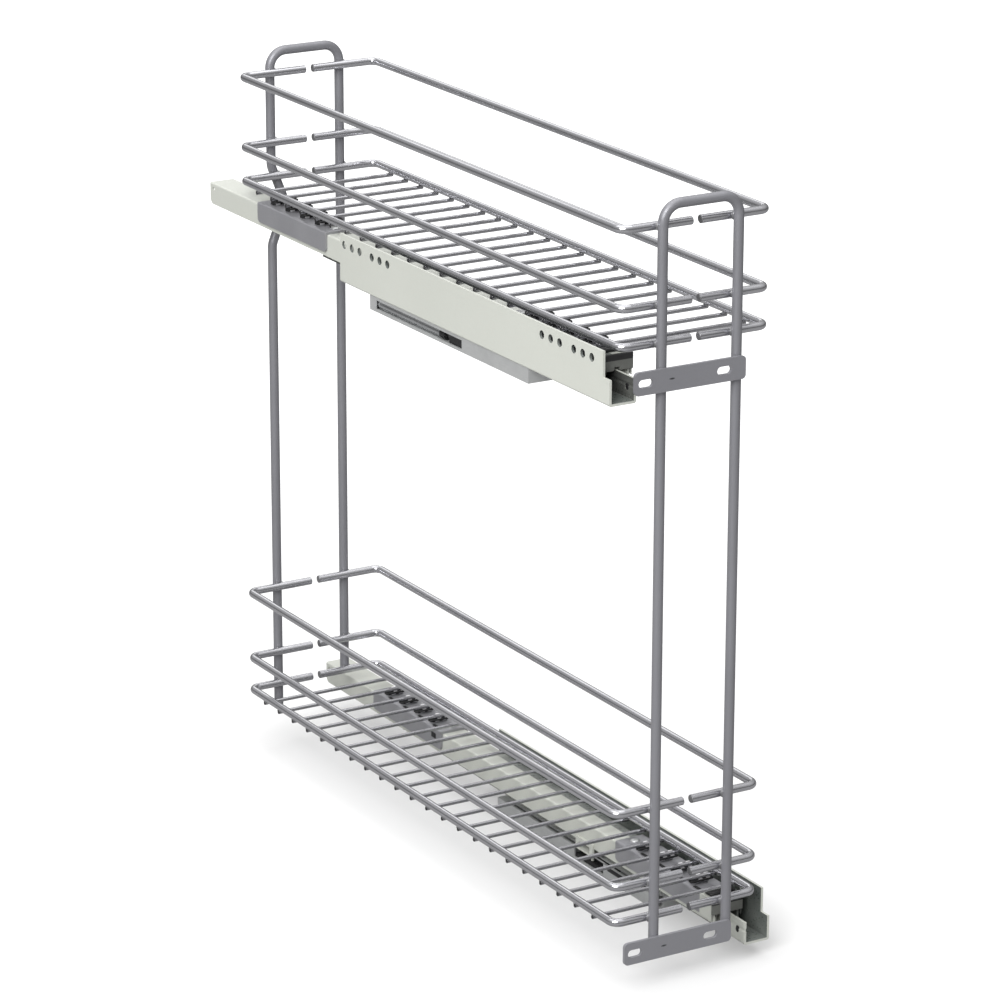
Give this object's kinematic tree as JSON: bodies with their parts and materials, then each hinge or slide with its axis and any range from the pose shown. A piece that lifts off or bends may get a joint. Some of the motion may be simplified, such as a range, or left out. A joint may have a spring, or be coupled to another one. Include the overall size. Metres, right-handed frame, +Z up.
{
  "type": "pull-out bottle rack",
  "caption": "Pull-out bottle rack for a narrow base cabinet: a lower and an upper wire basket on bent wire frames, carried by soft-close ball runners on opposite cabinet sides.",
  "frame": {"origin": "middle of the cabinet opening: centre of the lower basket's base ring, at the height of its wire's centre", "axes": "+X to the right seen from the front, +Y into the cabinet, +Z up; the door side faces -Y"},
  "size_m": [0.115, 0.5065, 0.4687],
  "materials": {
    "wire": "metallic silver-grey lacquer on steel wire",
    "frame": "satin grey lacquer on steel",
    "saddle": "satin grey lacquer on steel sheet",
    "rail": "satin pale grey coat on steel sheet",
    "zinc": "zinc-plated",
    "steel": "polished",
    "damper": "satin",
    "catch": "moulded black",
    "cage": "moulded"
  },
  "bodies": {
    "cabinet_side": {"lower_cabinet_rail": "rail", "lower_damper": "damper", "lower_damper_gland": "catch", "lower_softclose_housing": "zinc", "upper_cabinet_rail": "rail", "upper_damper": "damper", "upper_damper_gland": "catch", "upper_softclose_housing": "zinc"},
    "rack": {"front_frame": "frame", "lower_base_ring_left": "wire", "lower_base_ring_right": "wire", "lower_basket_rail": "rail", "lower_floor_wires": "wire", "lower_front_bracket": "frame", "lower_front_saddle": "saddle", "lower_middle_ring_left": "wire", "lower_middle_ring_right": "wire", "lower_rear_saddle": "saddle", "lower_saddle_rivets": "zinc", "lower_striker": "rail", "lower_top_ring_left": "wire", "lower_top_ring_right": "wire", "rear_frame": "frame", "upper_base_ring_left": "wire", "upper_base_ring_right": "wire", "upper_basket_rail": "rail", "upper_floor_wires": "wire", "upper_front_bracket": "frame", "upper_front_saddle": "saddle", "upper_middle_ring_left": "wire", "upper_middle_ring_right": "wire", "upper_rear_saddle": "saddle", "upper_saddle_rivets": "zinc", "upper_striker": "rail", "upper_top_ring_left": "wire", "upper_top_ring_right": "wire"},
    "lower_middle_rail_body": {"lower_middle_rail": "rail"},
    "lower_inner_balls_body": {"lower_inner_ball_cage": "cage", "lower_inner_balls": "steel"},
    "lower_outer_balls_body": {"lower_outer_ball_cage": "cage", "lower_outer_balls": "steel"},
    "lower_catch_body": {"lower_catch": "catch", "lower_damper_rod": "steel"},
    "upper_middle_rail_body": {"upper_middle_rail": "rail"},
    "upper_inner_balls_body": {"upper_inner_ball_cage": "cage", "upper_inner_balls": "steel"},
    "upper_outer_balls_body": {"upper_outer_ball_cage": "cage", "upper_outer_balls": "steel"},
    "upper_catch_body": {"upper_catch": "catch", "upper_damper_rod": "steel"}
  },
  "joints": [
    {"name": "rack_slide", "type": "slide", "parent": "cabinet_side", "child": "rack", "axis": [0, -1, 0], "range_m": [0, 0.43]},
    {"name": "lower_middle_rail_slide", "type": "slide", "parent": "cabinet_side", "child": "lower_middle_rail_body", "axis": [0, -1, 0], "range_m": [0, 0.215]},
    {"name": "lower_inner_balls_slide", "type": "slide", "parent": "cabinet_side", "child": "lower_inner_balls_body", "axis": [0, -1, 0], "range_m": [0, 0.1075]},
    {"name": "lower_outer_balls_slide", "type": "slide", "parent": "cabinet_side", "child": "lower_outer_balls_body", "axis": [0, -1, 0], "range_m": [0, 0.3225]},
    {"name": "lower_catch_slide", "type": "slide", "parent": "cabinet_side", "child": "lower_catch_body", "axis": [0, -1, 0], "range_m": [0, 0.04], "stiffness_N_per_m": 200},
    {"name": "upper_middle_rail_slide", "type": "slide", "parent": "cabinet_side", "child": "upper_middle_rail_body", "axis": [0, -1, 0], "range_m": [0, 0.215]},
    {"name": "upper_inner_balls_slide", "type": "slide", "parent": "cabinet_side", "child": "upper_inner_balls_body", "axis": [0, -1, 0], "range_m": [0, 0.1075]},
    {"name": "upper_outer_balls_slide", "type": "slide", "parent": "cabinet_side", "child": "upper_outer_balls_body", "axis": [0, -1, 0], "range_m": [0, 0.3225]},
    {"name": "upper_catch_slide", "type": "slide", "parent": "cabinet_side", "child": "upper_catch_body", "axis": [0, -1, 0], "range_m": [0, 0.04], "stiffness_N_per_m": 200}
  ],
  "couplings": [
    {"joint": "lower_middle_rail_slide", "follows": "rack_slide", "ratio": 0.5},
    {"joint": "lower_inner_balls_slide", "follows": "rack_slide", "ratio": 0.25},
    {"joint": "lower_outer_balls_slide", "follows": "rack_slide", "ratio": 0.75},
    {"joint": "upper_middle_rail_slide", "follows": "rack_slide", "ratio": 0.5},
    {"joint": "upper_inner_balls_slide", "follows": "rack_slide", "ratio": 0.25},
    {"joint": "upper_outer_balls_slide", "follows": "rack_slide", "ratio": 0.75}
  ]
}
